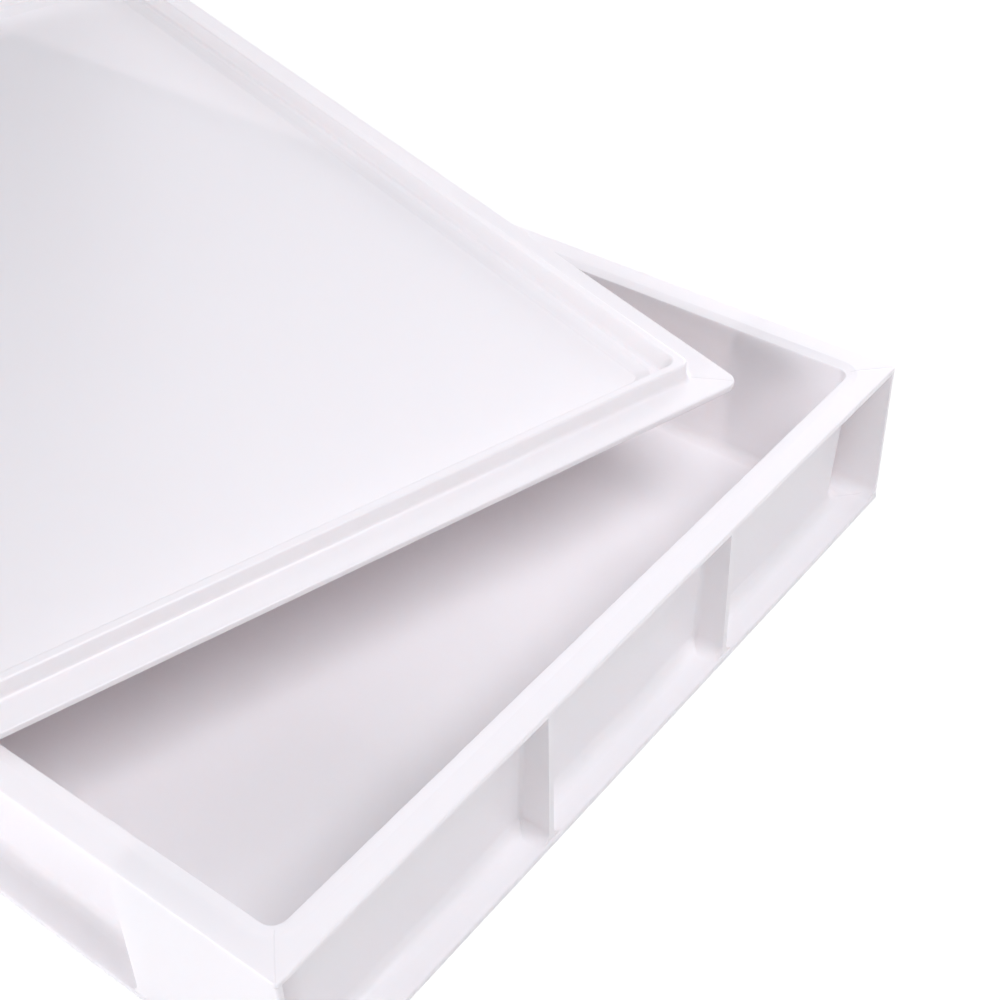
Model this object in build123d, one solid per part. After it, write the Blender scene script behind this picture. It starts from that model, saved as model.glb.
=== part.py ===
from build123d import *
import os

# Stackable dough proofing tray with its lift-off lid lying askew on the rim.
# Millimetres, +Z up, origin at the middle of the face that the tray stands on.
# X runs along the tray's long side and Y along its short side.

# Tray, overall
tray_length = 600
tray_width = 400
tray_height = 75
rim_corner_radius = 2

# Rim, the flat band round the mouth
rim_width = 14.8
rim_thickness = 2.6
mouth_corner_radius = 6
rim_edge_radius = 0.7
lip_slope_width = 5
lip_slope_drop = 0.9
lip_edge_radius = 0.5

# Wall between the rim and the base flange
wall_thickness = 2.5
wall_draft = 3

# Floor and base flange
base_flange_thickness = 3
floor_thickness = 2.6
floor_cove = 5
base_corner_radius = 1.5
base_edge_radius = 0.8

# Thin upright ribs in the channels round the outside
rib_thickness = 2.8
rib_setback = 1
rib_cove = 2
channel_foot_cove = 5.5
short_side_first_rib = 134.8
short_side_rib_pitch = 123
short_side_rib_count = 2
long_side_rib_count = 3

# Plates that close the long sides' channels at the four corners
corner_plate_length = 77
corner_plate_thickness = 2.5
plate_setback = 0.3
plate_corner_radius = 1

# Lid flange
lid_corner_radius = 7.5
lid_flange_thickness = 3
lid_edge_radius = 0.7

# Ring that plugs into the tray's mouth when the lid is turned over
ring_clearance = 0.4
ring_height = 8
ring_top_width = 4.5
ring_draft = 0.35
ring_inner_slope = 3
ring_corner_radius = 5.5
ring_edge_radius = 1.1
ring_foot_cove = 2
ring_inner_cove = 1.5

# Panel inside the ring, sunk on the ring's side and proud on the other
ledge_width = 3.4
panel_drop = 3
panel_slope_width = 4.5
panel_corner_radius = 6
panel_edge_cove = 1.2
recess_headroom = 0.2
recess_clearance = 1

# Where the lid lies on the rim
lid_centre_x = -90.7
lid_centre_y = 37.8
lid_turn = -16.7
seat_gap = 0.1

# Overrun of cutting shapes, and how closely an edge is matched by its place
overrun = 1
match_tolerance = 0.02

# Heights and insets that follow from the sizes above
recess_depth = panel_drop + recess_headroom
floor_top = recess_depth + floor_thickness
rim_underside = tray_height - rim_thickness
open_length = tray_length - 2 * corner_plate_length


def mouth_inset(height):
    """Inset of the drafted inner wall face at one height of the tray."""
    return rim_width + wall_draft * (tray_height - height) / (tray_height - floor_top)


ring_outer_top = mouth_inset(tray_height - ring_height) + ring_clearance
ring_outer_root = ring_outer_top - ring_draft
ring_inner_top = ring_outer_top + ring_top_width
ring_inner_root = ring_inner_top + ring_inner_slope
ledge_end = ring_inner_root + ledge_width
panel_edge = ledge_end + panel_slope_width
recess_inset = ledge_end - recess_clearance


def outline(inset, radius, height):
    """Rounded rectangle, set in from the shared footprint, at one height."""
    shape = RectangleRounded(tray_length - 2 * inset, tray_width - 2 * inset, radius)
    return Pos(0, 0, height) * shape


def frustum(lower, upper):
    """Solid with straight drafted sides between two outlines."""
    return loft([lower, upper], ruled=True)


def edges_on(shape, inset, height):
    """Edges that run along one outline of the shape, found by inset and height."""
    found = ShapeList()
    for edge in shape.edges():
        box = edge.bounding_box()
        reach_x = max(abs(box.min.X), abs(box.max.X))
        reach_y = max(abs(box.min.Y), abs(box.max.Y))
        edge_inset = min(tray_length / 2 - reach_x, tray_width / 2 - reach_y)
        level_error = max(abs(box.min.Z - height), abs(box.max.Z - height))
        if abs(edge_inset - inset) < match_tolerance and level_error < match_tolerance:
            found.append(edge)
    return found


def slab(inset, radius, low, high, edge_radius):
    """Flat plate with rounded upper and lower outer edges."""
    plate = extrude(outline(inset, radius, low), high - low)
    return fillet(edges_on(plate, inset, low) + edges_on(plate, inset, high), edge_radius)


def wall_block():
    """The drafted wall's outer shape, solid inside, from the floor to the rim."""
    wall_radius = mouth_corner_radius + wall_thickness
    foot = outline(mouth_inset(0) - wall_thickness, wall_radius, 0)
    shoulder = outline(mouth_inset(rim_underside) - wall_thickness, wall_radius, rim_underside)
    return frustum(foot, shoulder)


def short_side_places():
    """Places of the ribs along one short side, from its middle."""
    first = tray_width / 2 - short_side_first_rib
    return [first - place * short_side_rib_pitch for place in range(short_side_rib_count)]


def long_side_places():
    """Places of the ribs along one long side, spread evenly between its corner plates."""
    pitch = open_length / (long_side_rib_count + 1)
    return [(place + 1) * pitch - open_length / 2 for place in range(long_side_rib_count)]


def dividers():
    """Upright slabs where ribs and corner plates will stand, longer outwards than they end."""
    reach = mouth_inset(0) + overrun
    across = Box(reach, rib_thickness, tray_height)
    along = Box(rib_thickness, reach, tray_height)
    plate_depth = plate_setback + corner_plate_thickness + overrun
    plate = Box(corner_plate_length + overrun, plate_depth, tray_height)
    rib_x = (tray_length - reach) / 2 + overrun
    rib_y = (tray_width - reach) / 2 + overrun
    plate_x = (tray_length - corner_plate_length + overrun) / 2
    plate_y = (tray_width - plate_depth) / 2 + overrun
    middle = tray_height / 2
    slabs = []
    for side in (1, -1):
        for along_y in short_side_places():
            slabs.append(Pos(side * rib_x, side * along_y, middle) * across)
        for along_x in long_side_places():
            slabs.append(Pos(along_x, side * rib_y, middle) * along)
        for end in (1, -1):
            along_x = end * (open_length + rib_thickness) / 2
            slabs.append(Pos(along_x, side * rib_y, middle) * along)
            slabs.append(Pos(end * plate_x, side * plate_y, middle) * plate)
    return slabs


def channel_bays():
    """Spaces between the wall, the ribs and the corner plates, coved inside and at the foot."""
    low = base_flange_thickness
    room = extrude(outline(-overrun, rim_corner_radius, low), rim_underside - low) - wall_block()
    for slab_piece in dividers():
        room -= slab_piece
    upright, foot = ShapeList(), ShapeList()
    for edge in room.edges():
        box = edge.bounding_box()
        near_x = min(abs(box.min.X), abs(box.max.X))
        near_y = min(abs(box.min.Y), abs(box.max.Y))
        outside = near_x > tray_length / 2 or near_y > tray_width / 2
        under_rim = box.min.Z > rim_underside - match_tolerance
        if outside or under_rim:
            continue
        if box.max.Z < low + match_tolerance:
            foot.append(edge)
        else:
            upright.append(edge)
    return fillet(upright, rib_cove) & fillet(foot, channel_foot_cove)


def rib_fronts():
    """Shallow cuts that set the ribs and their coved feet back from the corner plates."""
    depth = rib_setback + overrun
    width = rib_thickness + 2 * channel_foot_cove
    height = rim_underside - base_flange_thickness
    middle = base_flange_thickness + height / 2
    front_x = (tray_length - depth) / 2 + overrun
    front_y = (tray_width - depth) / 2 + overrun
    cuts = []
    for side in (1, -1):
        for along_y in short_side_places():
            cuts.append(Pos(side * front_x, side * along_y, middle) * Box(depth, width, height))
        for along_x in long_side_places():
            cuts.append(Pos(along_x, side * front_y, middle) * Box(width, depth, height))
    return cuts


def make_tray():
    """Whole tray: a block with its outer bays, then its cavity, lip and base recess cut away."""
    core_height = rim_underside - base_flange_thickness
    body = extrude(outline(plate_setback, plate_corner_radius, base_flange_thickness), core_height)
    for cut in rib_fronts():
        body -= cut
    body += slab(0, base_corner_radius, 0, base_flange_thickness, base_edge_radius)
    body += slab(0, rim_corner_radius, rim_underside, tray_height, rim_edge_radius)
    body -= channel_bays()

    # Cavity with a coved floor
    mouth_top = tray_height + overrun
    cavity = frustum(
        outline(mouth_inset(floor_top), mouth_corner_radius, floor_top),
        outline(mouth_inset(mouth_top), mouth_corner_radius, mouth_top),
    )
    cavity = fillet(edges_on(cavity, mouth_inset(floor_top), floor_top), floor_cove)
    body -= cavity

    # Slope and rounded lip on the inner part of the rim
    lip_height = tray_height - lip_slope_drop
    lip_inset = mouth_inset(lip_height)
    slope_width = 2 * lip_slope_width
    body -= frustum(
        outline(lip_inset, mouth_corner_radius, lip_height),
        outline(lip_inset - slope_width, mouth_corner_radius + slope_width, tray_height + lip_slope_drop),
    )
    body = fillet(edges_on(body, lip_inset, lip_height), lip_edge_radius)

    # Shallow recess under the floor that drops over the lid of the box below
    recess = extrude(outline(recess_inset, panel_corner_radius, -overrun), overrun + recess_depth)
    return body - recess


def make_lid():
    """Lid in its own frame, with the underside of its flange at height zero."""
    flange_top = lid_flange_thickness
    ring_top = flange_top + ring_height

    # Raised ring with a rounded crest
    ring = frustum(
        outline(ring_outer_root, ring_corner_radius, 0),
        outline(ring_outer_top, ring_corner_radius, ring_top),
    )
    ring -= frustum(
        outline(ring_inner_root, ring_corner_radius, flange_top),
        outline(ring_inner_top, ring_corner_radius, ring_top),
    )
    crest = edges_on(ring, ring_outer_top, ring_top) + edges_on(ring, ring_inner_top, ring_top)
    ring = fillet(crest, ring_edge_radius)

    # Flange, with hollow coves where the ring stands on it
    body = slab(0, lid_corner_radius, 0, flange_top, lid_edge_radius) + ring
    foot_inset = ring_outer_root + ring_draft * flange_top / ring_top
    body = fillet(edges_on(body, foot_inset, flange_top), ring_foot_cove)
    body = fillet(edges_on(body, ring_inner_root, flange_top), ring_inner_cove)

    # Panel inside the ring
    proud = frustum(
        outline(panel_edge, panel_corner_radius, -panel_drop),
        outline(ledge_end, panel_corner_radius, 0),
    )
    proud = fillet(edges_on(proud, panel_edge, -panel_drop), panel_edge_cove)
    sunk_floor = flange_top - panel_drop
    body = body + proud - frustum(
        outline(panel_edge, panel_corner_radius, sunk_floor),
        outline(ledge_end, panel_corner_radius, flange_top),
    )
    body = fillet(edges_on(body, panel_edge, sunk_floor), panel_edge_cove)
    return fillet(edges_on(body, ledge_end, flange_top), panel_edge_cove)


tray = make_tray()
lid_height = tray_height + seat_gap + panel_drop
lid = Pos(lid_centre_x, lid_centre_y, lid_height) * Rot(0, 0, lid_turn) * make_lid()

os.makedirs("parts", exist_ok=True)
export_step(tray, "parts/tray.step")
export_step(lid, "parts/lid.step")
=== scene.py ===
import math

import bmesh
import bpy
from mathutils import Matrix, Vector

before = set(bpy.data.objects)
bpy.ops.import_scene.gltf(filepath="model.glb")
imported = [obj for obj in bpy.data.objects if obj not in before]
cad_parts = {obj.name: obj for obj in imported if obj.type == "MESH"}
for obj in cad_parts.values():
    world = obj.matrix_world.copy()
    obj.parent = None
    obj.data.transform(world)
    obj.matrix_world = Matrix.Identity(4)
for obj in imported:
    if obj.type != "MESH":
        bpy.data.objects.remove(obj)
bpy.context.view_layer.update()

# Photographer's camera, looking down over the near right corner of the tray.
# The lens and stand follow from the tray's edges in the picture, which is 1000 px square.
picture_width = 1000
focal_pixels = 1703.1
camera_place = Vector((0.54752, -0.39189, 0.51709))
view_right = Vector((0.791382, 0.610855, -0.023892))
view_up = Vector((-0.375903, 0.517071, 0.768983))
camera = bpy.data.objects.new("camera", bpy.data.cameras.new("camera"))
camera.data.sensor_width = 36
camera.data.lens = camera.data.sensor_width * focal_pixels / picture_width
camera.data.clip_start = 0.01
camera.data.clip_end = 50
view_axes = Matrix((view_right, view_up, view_right.cross(view_up))).transposed()
camera.matrix_world = Matrix.Translation(camera_place) @ view_axes.to_4x4()
bpy.context.scene.collection.objects.link(camera)
bpy.context.scene.camera = camera


# Tray: injection moulded in one piece from white polyethylene, satin all over.
# It keeps its moulded solid. The material brings the fine grain of the steel mould,
# a little light through the thin walls, sink marks over the ribs and joint lines at the corners.
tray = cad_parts["tray"]
tray_white = (0.985, 0.96, 0.966, 1)
tray_roughness = 0.285
tray_seam_inset = 0.0155
half_length = 0.3
half_width = 0.2
seam_width = 0.0004


def step(nodes, links, operation, first, second=None):
    """One arithmetic step; each side is a socket or a plain number."""
    node = nodes.new("ShaderNodeMath")
    node.operation = operation
    for socket, value in zip(node.inputs, (first, second)):
        if value is None:
            continue
        if isinstance(value, (int, float)):
            socket.default_value = value
        else:
            links.new(value, socket)
    return node.outputs[0]


def bell(nodes, links, distance, width):
    """One where the distance is nought, fading to nought over a width."""
    narrow = step(nodes, links, "DIVIDE", distance, width)
    squared = step(nodes, links, "MULTIPLY", narrow, narrow)
    return step(nodes, links, "EXPONENT", step(nodes, links, "MULTIPLY", squared, -1))


def ramp(nodes, links, value, low, high):
    """Nought below one value, one above another, and smooth between."""
    node = nodes.new("ShaderNodeMapRange")
    node.interpolation_type = "SMOOTHSTEP"
    node.inputs["From Min"].default_value = low
    node.inputs["From Max"].default_value = high
    links.new(value, node.inputs["Value"])
    return node.outputs["Result"]


def noise(nodes, links, place, scale, detail):
    """Soft noise at a scale that comes from another socket."""
    node = nodes.new("ShaderNodeTexNoise")
    node.inputs["Detail"].default_value = detail
    links.new(place, node.inputs["Vector"])
    links.new(scale, node.inputs["Scale"])
    return node.outputs["Fac"]


def new_group(name, inputs, outputs):
    """Empty node group: its first input is a place, the others are numbers."""
    group = bpy.data.node_groups.new(name, "ShaderNodeTree")
    group.interface.new_socket("Place", in_out="INPUT", socket_type="NodeSocketVector")
    for label in inputs:
        group.interface.new_socket(label, in_out="INPUT", socket_type="NodeSocketFloat")
    for label in outputs:
        group.interface.new_socket(label, in_out="OUTPUT", socket_type="NodeSocketFloat")
    given = group.nodes.new("NodeGroupInput").outputs
    made = group.nodes.new("NodeGroupOutput").inputs
    return group, group.nodes, group.links, given, made


def mould_grain_group():
    """Fine grain of the steel mould as a height, and the slow cloudiness of a cooled moulding."""
    grain_height = 0.06
    group, nodes, links, given, made = new_group(
        "mould grain", ("Grain Scale", "Wave Scale"), ("Height", "Cloud"))
    grain = noise(nodes, links, given["Place"], given["Grain Scale"], 3)
    wave = noise(nodes, links, given["Place"], given["Wave Scale"], 1)
    links.new(step(nodes, links, "MULTIPLY", grain, grain_height), made["Height"])
    links.new(wave, made["Cloud"])
    return group


mould_grain = mould_grain_group()


def corner_seam_group():
    """Mitre line where the melt meets at each corner of a moulding, on its flat faces only."""
    fade = 0.0008
    base_top = (0.0032, 0.004)
    rim_underside = (0.0725, 0.0735)
    group, nodes, links, given, made = new_group("corner seam", ("Inset", "Width"), ("Seam",))
    split = nodes.new("ShaderNodeSeparateXYZ")
    links.new(given["Place"], split.inputs[0])
    along = step(nodes, links, "ABSOLUTE", split.outputs["X"])
    across = step(nodes, links, "ABSOLUTE", split.outputs["Y"])
    apart = step(nodes, links, "SUBTRACT", step(nodes, links, "SUBTRACT", along, across),
                 half_length - half_width)
    line = bell(nodes, links, apart, given["Width"])
    from_end = step(nodes, links, "SUBTRACT", half_length, along)
    from_side = step(nodes, links, "SUBTRACT", half_width, across)
    depth = step(nodes, links, "MAXIMUM", from_end, from_side)
    inside = step(nodes, links, "SUBTRACT", given["Inset"], depth)
    seam = step(nodes, links, "MULTIPLY", line, ramp(nodes, links, inside, 0, fade))
    above_base = ramp(nodes, links, split.outputs["Z"], *base_top)
    above_wall = ramp(nodes, links, split.outputs["Z"], *rim_underside)
    flat = step(nodes, links, "ADD", step(nodes, links, "SUBTRACT", 1, above_base), above_wall)
    links.new(step(nodes, links, "MULTIPLY", seam, flat), made["Seam"])
    return group


corner_seam = corner_seam_group()


def nearest(nodes, links, value, places, first):
    """Distance to the nearest of some places, starting from a first distance."""
    for centre in places:
        gap = step(nodes, links, "ABSOLUTE", step(nodes, links, "SUBTRACT", value, centre))
        first = step(nodes, links, "MINIMUM", first, gap)
    return first


def sink_marks(nodes, links, place):
    """Shallow sinks across the rim where ribs and corner webs join it from below."""
    short_side_places = (0.0652, -0.0578)
    long_side_places = (0.1115, 0.2244, 0.2682)
    corner_web = 0.1678
    rim_width = 0.0148
    rim_fade = 0.0015
    rim_level = (0.0728, 0.0738)
    sink_width = 0.0022
    split = nodes.new("ShaderNodeSeparateXYZ")
    links.new(place, split.inputs[0])
    end = step(nodes, links, "SIGN", split.outputs["X"])
    turned = step(nodes, links, "MULTIPLY", split.outputs["Y"], end)
    along = step(nodes, links, "ABSOLUTE", split.outputs["X"])
    across = step(nodes, links, "ABSOLUTE", split.outputs["Y"])
    web = step(nodes, links, "ABSOLUTE", step(nodes, links, "SUBTRACT", across, corner_web))
    near = nearest(nodes, links, turned, short_side_places, web)
    far = nearest(nodes, links, along, long_side_places, along)
    end_edge, side_edge = half_length - rim_width, half_width - rim_width
    on_end = ramp(nodes, links, along, end_edge, end_edge + rim_fade)
    on_side = ramp(nodes, links, across, side_edge, side_edge + rim_fade)
    end_sinks = step(nodes, links, "MULTIPLY", bell(nodes, links, near, sink_width), on_end)
    side_sinks = step(nodes, links, "MULTIPLY", bell(nodes, links, far, sink_width), on_side)
    sinks = step(nodes, links, "MAXIMUM", end_sinks, side_sinks)
    return step(nodes, links, "MULTIPLY", sinks,
                ramp(nodes, links, split.outputs["Z"], *rim_level))


def satin_polyethylene(name, colour, roughness):
    """Material of one moulding: satin white plastic that lets a little light through."""
    material = bpy.data.materials.new(name)
    material.use_nodes = True
    nodes = material.node_tree.nodes
    shader = nodes["Principled BSDF"]
    shader.inputs["Base Color"].default_value = colour
    shader.inputs["Roughness"].default_value = roughness
    shader.inputs["IOR"].default_value = 1.54
    shader.inputs["Subsurface Weight"].default_value = 0.55
    shader.inputs["Subsurface Radius"].default_value = (1, 0.85, 0.8)
    shader.inputs["Subsurface Scale"].default_value = 0.005
    return material, nodes, material.node_tree.links, shader


def surface_marks(nodes, links, shader, place, marks, inset, colour, roughness):
    """Grain, seams and sinks as relief, with a little of them in colour and gloss."""
    sink_depth = 0.5
    darkening = 0.86
    cloud_share, seam_share, gloss_share = 0.08, 0.6, 0.04
    grain = nodes.new("ShaderNodeGroup")
    grain.node_tree = mould_grain
    grain.inputs["Grain Scale"].default_value = 900
    grain.inputs["Wave Scale"].default_value = 14
    links.new(place, grain.inputs["Place"])
    seam = nodes.new("ShaderNodeGroup")
    seam.node_tree = corner_seam
    seam.inputs["Inset"].default_value = inset
    seam.inputs["Width"].default_value = seam_width
    links.new(place, seam.inputs["Place"])
    # Heights in tenths of a millimetre: the grain, with seams and sinks taken away
    height = step(nodes, links, "SUBTRACT", grain.outputs["Height"], seam.outputs["Seam"])
    if marks is not None:
        sinks = step(nodes, links, "MULTIPLY", marks, sink_depth)
        height = step(nodes, links, "SUBTRACT", height, sinks)
    relief = nodes.new("ShaderNodeBump")
    relief.inputs["Strength"].default_value = 1
    relief.inputs["Distance"].default_value = 0.0001
    links.new(height, relief.inputs["Height"])
    links.new(relief.outputs["Normal"], shader.inputs["Normal"])
    # The seam reads a shade darker, and the plastic varies a little from place to place
    tint = nodes.new("ShaderNodeMix")
    tint.data_type = "RGBA"
    tint.inputs["A"].default_value = colour
    tint.inputs["B"].default_value = tuple(darkening * part for part in colour[:3]) + (1,)
    cloud = step(nodes, links, "MULTIPLY", grain.outputs["Cloud"], cloud_share)
    shade = step(nodes, links, "MULTIPLY", seam.outputs["Seam"], seam_share)
    links.new(step(nodes, links, "MAXIMUM", cloud, shade), tint.inputs["Factor"])
    links.new(tint.outputs["Result"], shader.inputs["Base Color"])
    gloss = step(nodes, links, "MULTIPLY", grain.outputs["Cloud"], gloss_share)
    links.new(step(nodes, links, "ADD", gloss, roughness), shader.inputs["Roughness"])


tray_finish, tray_nodes, tray_links, tray_shader = satin_polyethylene(
    "tray_plastic", tray_white, tray_roughness)
tray_place = tray_nodes.new("ShaderNodeTexCoord").outputs["Object"]
tray_sinks = sink_marks(tray_nodes, tray_links, tray_place)
surface_marks(tray_nodes, tray_links, tray_shader, tray_place, tray_sinks,
              tray_seam_inset, tray_white, tray_roughness)
tray.data.materials.clear()
tray.data.materials.append(tray_finish)

# Lid: one flat moulding of the same white polyethylene, lying loose and askew on the rim.
# Its pattern is laid in the lid's own axes, turned as the lid is.
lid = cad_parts["lid"]
lid_white = (0.975, 0.95, 0.955, 1)
lid_roughness = 0.28
lid_seam_inset = 0.0205
lid_centre = (-0.0907, 0.0378, 0.0781)
lid_turn = -16.7
lid_finish, lid_nodes, lid_links, lid_shader = satin_polyethylene(
    "lid_plastic", lid_white, lid_roughness)
lid_axes = lid_nodes.new("ShaderNodeMapping")
lid_axes.vector_type = "TEXTURE"
lid_axes.inputs["Location"].default_value = lid_centre
lid_axes.inputs["Rotation"].default_value = (0, 0, math.radians(lid_turn))
lid_links.new(lid_nodes.new("ShaderNodeTexCoord").outputs["Object"], lid_axes.inputs["Vector"])
surface_marks(lid_nodes, lid_links, lid_shader, lid_axes.outputs["Vector"], None,
              lid_seam_inset, lid_white, lid_roughness)
lid.data.materials.clear()
lid.data.materials.append(lid_finish)

# Paper: a pale sheet under the object that the camera sees as plain white.
# It keeps the object's shadow, and reflections see it white as well.
paper_half = 6
paper_grey = (0.9, 0.9, 0.9, 1)
paper_glow = 1.08
paper_share = 0.88
paper_mesh = bpy.data.meshes.new("paper")
sheet = bmesh.new()
bmesh.ops.create_grid(sheet, x_segments=1, y_segments=1, size=paper_half)
sheet.to_mesh(paper_mesh)
sheet.free()
paper = bpy.data.objects.new("paper", paper_mesh)
bpy.context.scene.collection.objects.link(paper)
paper_stock = bpy.data.materials.new("paper_stock")
paper_stock.use_nodes = True
stock_nodes, stock_links = paper_stock.node_tree.nodes, paper_stock.node_tree.links
stock = stock_nodes["Principled BSDF"]
stock.inputs["Base Color"].default_value = paper_grey
stock.inputs["Roughness"].default_value = 1
stock.inputs["Specular IOR Level"].default_value = 0
glow = stock_nodes.new("ShaderNodeEmission")
glow.inputs["Strength"].default_value = paper_glow
rays = stock_nodes.new("ShaderNodeLightPath").outputs
seen = step(stock_nodes, stock_links, "MAXIMUM", rays["Is Camera Ray"], rays["Is Glossy Ray"])
seen = step(stock_nodes, stock_links, "MAXIMUM", seen, rays["Is Transmission Ray"])
share = step(stock_nodes, stock_links, "MULTIPLY", seen, paper_share)
blend = stock_nodes.new("ShaderNodeMixShader")
stock_links.new(share, blend.inputs[0])
stock_links.new(stock.outputs[0], blend.inputs[1])
stock_links.new(glow.outputs[0], blend.inputs[2])
stock_links.new(blend.outputs[0], stock_nodes["Material Output"].inputs[0])
paper.data.materials.append(paper_stock)

# Studio: a dim white room that the camera sees as plain white, and soft lamps at a plain level.
# White walls and floor of the tray pass light to and fro, so more diffuse bounces are kept.
bpy.context.scene.cycles.diffuse_bounces = 16
room_light = (0.96, 0.95, 1.0, 1)
room_strength = 0.08
lamp_light = (0.968, 0.945, 1.0)
lamp_distance = 1.5
aim_height = 0.05
studio = bpy.data.worlds.new("studio")
bpy.context.scene.world = studio
studio.use_nodes = True
room_nodes, room_links = studio.node_tree.nodes, studio.node_tree.links
room = room_nodes["Background"]
room.inputs["Color"].default_value = room_light
room.inputs["Strength"].default_value = room_strength
backdrop = room_nodes.new("ShaderNodeBackground")
backdrop.inputs["Color"].default_value = (1, 1, 1, 1)
room_rays = room_nodes.new("ShaderNodeLightPath").outputs
room_seen = step(room_nodes, room_links, "MAXIMUM", room_rays["Is Camera Ray"],
                 room_rays["Is Transmission Ray"])
room_blend = room_nodes.new("ShaderNodeMixShader")
room_links.new(room_seen, room_blend.inputs[0])
room_links.new(room.outputs[0], room_blend.inputs[1])
room_links.new(backdrop.outputs[0], room_blend.inputs[2])
room_links.new(room_blend.outputs[0], room_nodes["World Output"].inputs[0])


def softbox(name, turn_degrees, height_degrees, width, watts):
    """Large square lamp on a stand, turned to face the middle of the tray."""
    lamp = bpy.data.lights.new(name, "AREA")
    lamp.shape = "SQUARE"
    lamp.size = width
    lamp.energy = watts
    lamp.color = lamp_light
    stand = bpy.data.objects.new(name, lamp)
    turn = Matrix.Rotation(math.radians(turn_degrees), 4, "Z")
    tilt = Matrix.Rotation(-math.radians(height_degrees), 4, "Y")
    away = turn @ tilt @ Vector((lamp_distance, 0, 0))
    facing = (-away).to_track_quat("-Z", "Y").to_matrix().to_4x4()
    stand.matrix_world = Matrix.Translation(away + Vector((0, 0, aim_height))) @ facing
    bpy.context.scene.collection.objects.link(stand)


softbox("right lamp", 0, 53, 0.7, 13.5)
softbox("left lamp", -150, 45, 0.7, 3)
softbox("back lamp", 122, 33, 1, 4)
softbox("low back lamp", 92, 16, 0.7, 8)
softbox("low front lamp", -94, 15, 0.7, 12)

bpy.context.scene.view_settings.view_transform = "Standard"
